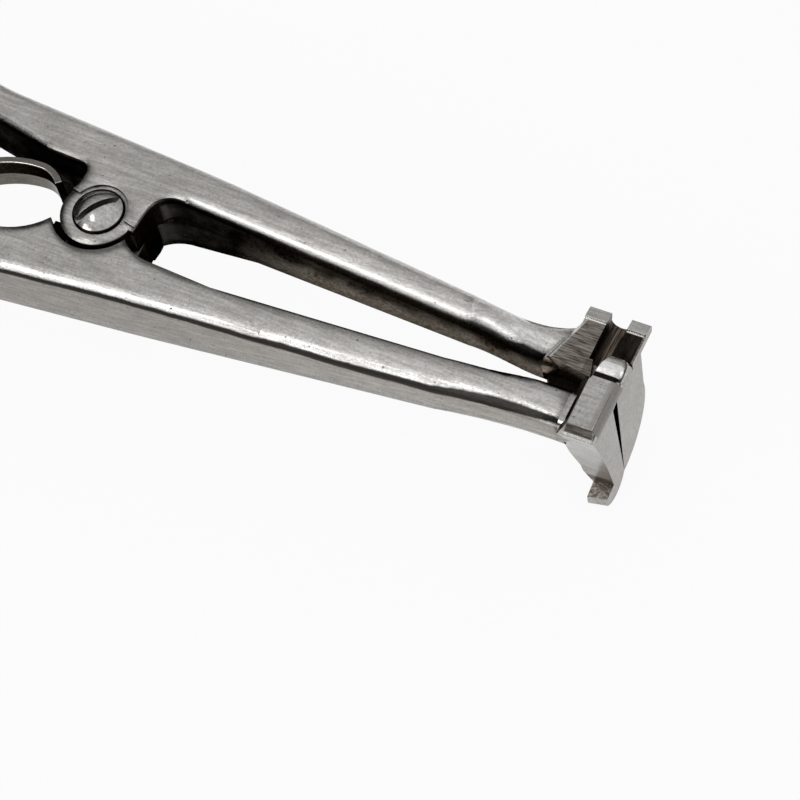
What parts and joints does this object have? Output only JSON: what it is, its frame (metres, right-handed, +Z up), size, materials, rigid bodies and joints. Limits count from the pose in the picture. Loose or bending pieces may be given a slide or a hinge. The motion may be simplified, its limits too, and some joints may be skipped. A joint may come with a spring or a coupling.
{
  "type": "band forming pliers",
  "caption": "Hand pliers with two long half-lapped levers on a slotted pivot screw, a leaf spring between the handles and a pair of stubby shaped forming heads.",
  "frame": {"origin": "where the pivot axis meets the underside of the joint", "axes": "+X along the pliers towards the heads, +Y towards the upper lever, +Z up along the pivot axis through the screw's slotted head"},
  "size_m": [0.1613, 0.041, 0.0195],
  "materials": {
    "lever_steel": "satin, worn",
    "head_steel": "fine ground",
    "screw_steel": "polished, worn",
    "spring_steel": "dark satin"
  },
  "bodies": {
    "lower_half": {"lower_lever": "lever_steel", "lower_head": "head_steel", "pivot_screw": "screw_steel", "leaf_spring": "spring_steel", "spring_screw": "screw_steel"},
    "upper_half": {"upper_lever": "lever_steel", "upper_head": "head_steel"}
  },
  "joints": [
    {"name": "pivot", "type": "hinge", "parent": "lower_half", "child": "upper_half", "pos_m": [0, 0, 0], "axis": [0, 0, 1], "range_deg": [0, 14], "stiffness_Nm_per_rad": 0.35, "springref_deg": -20.05, "deforming": ["leaf_spring"]}
  ]
}
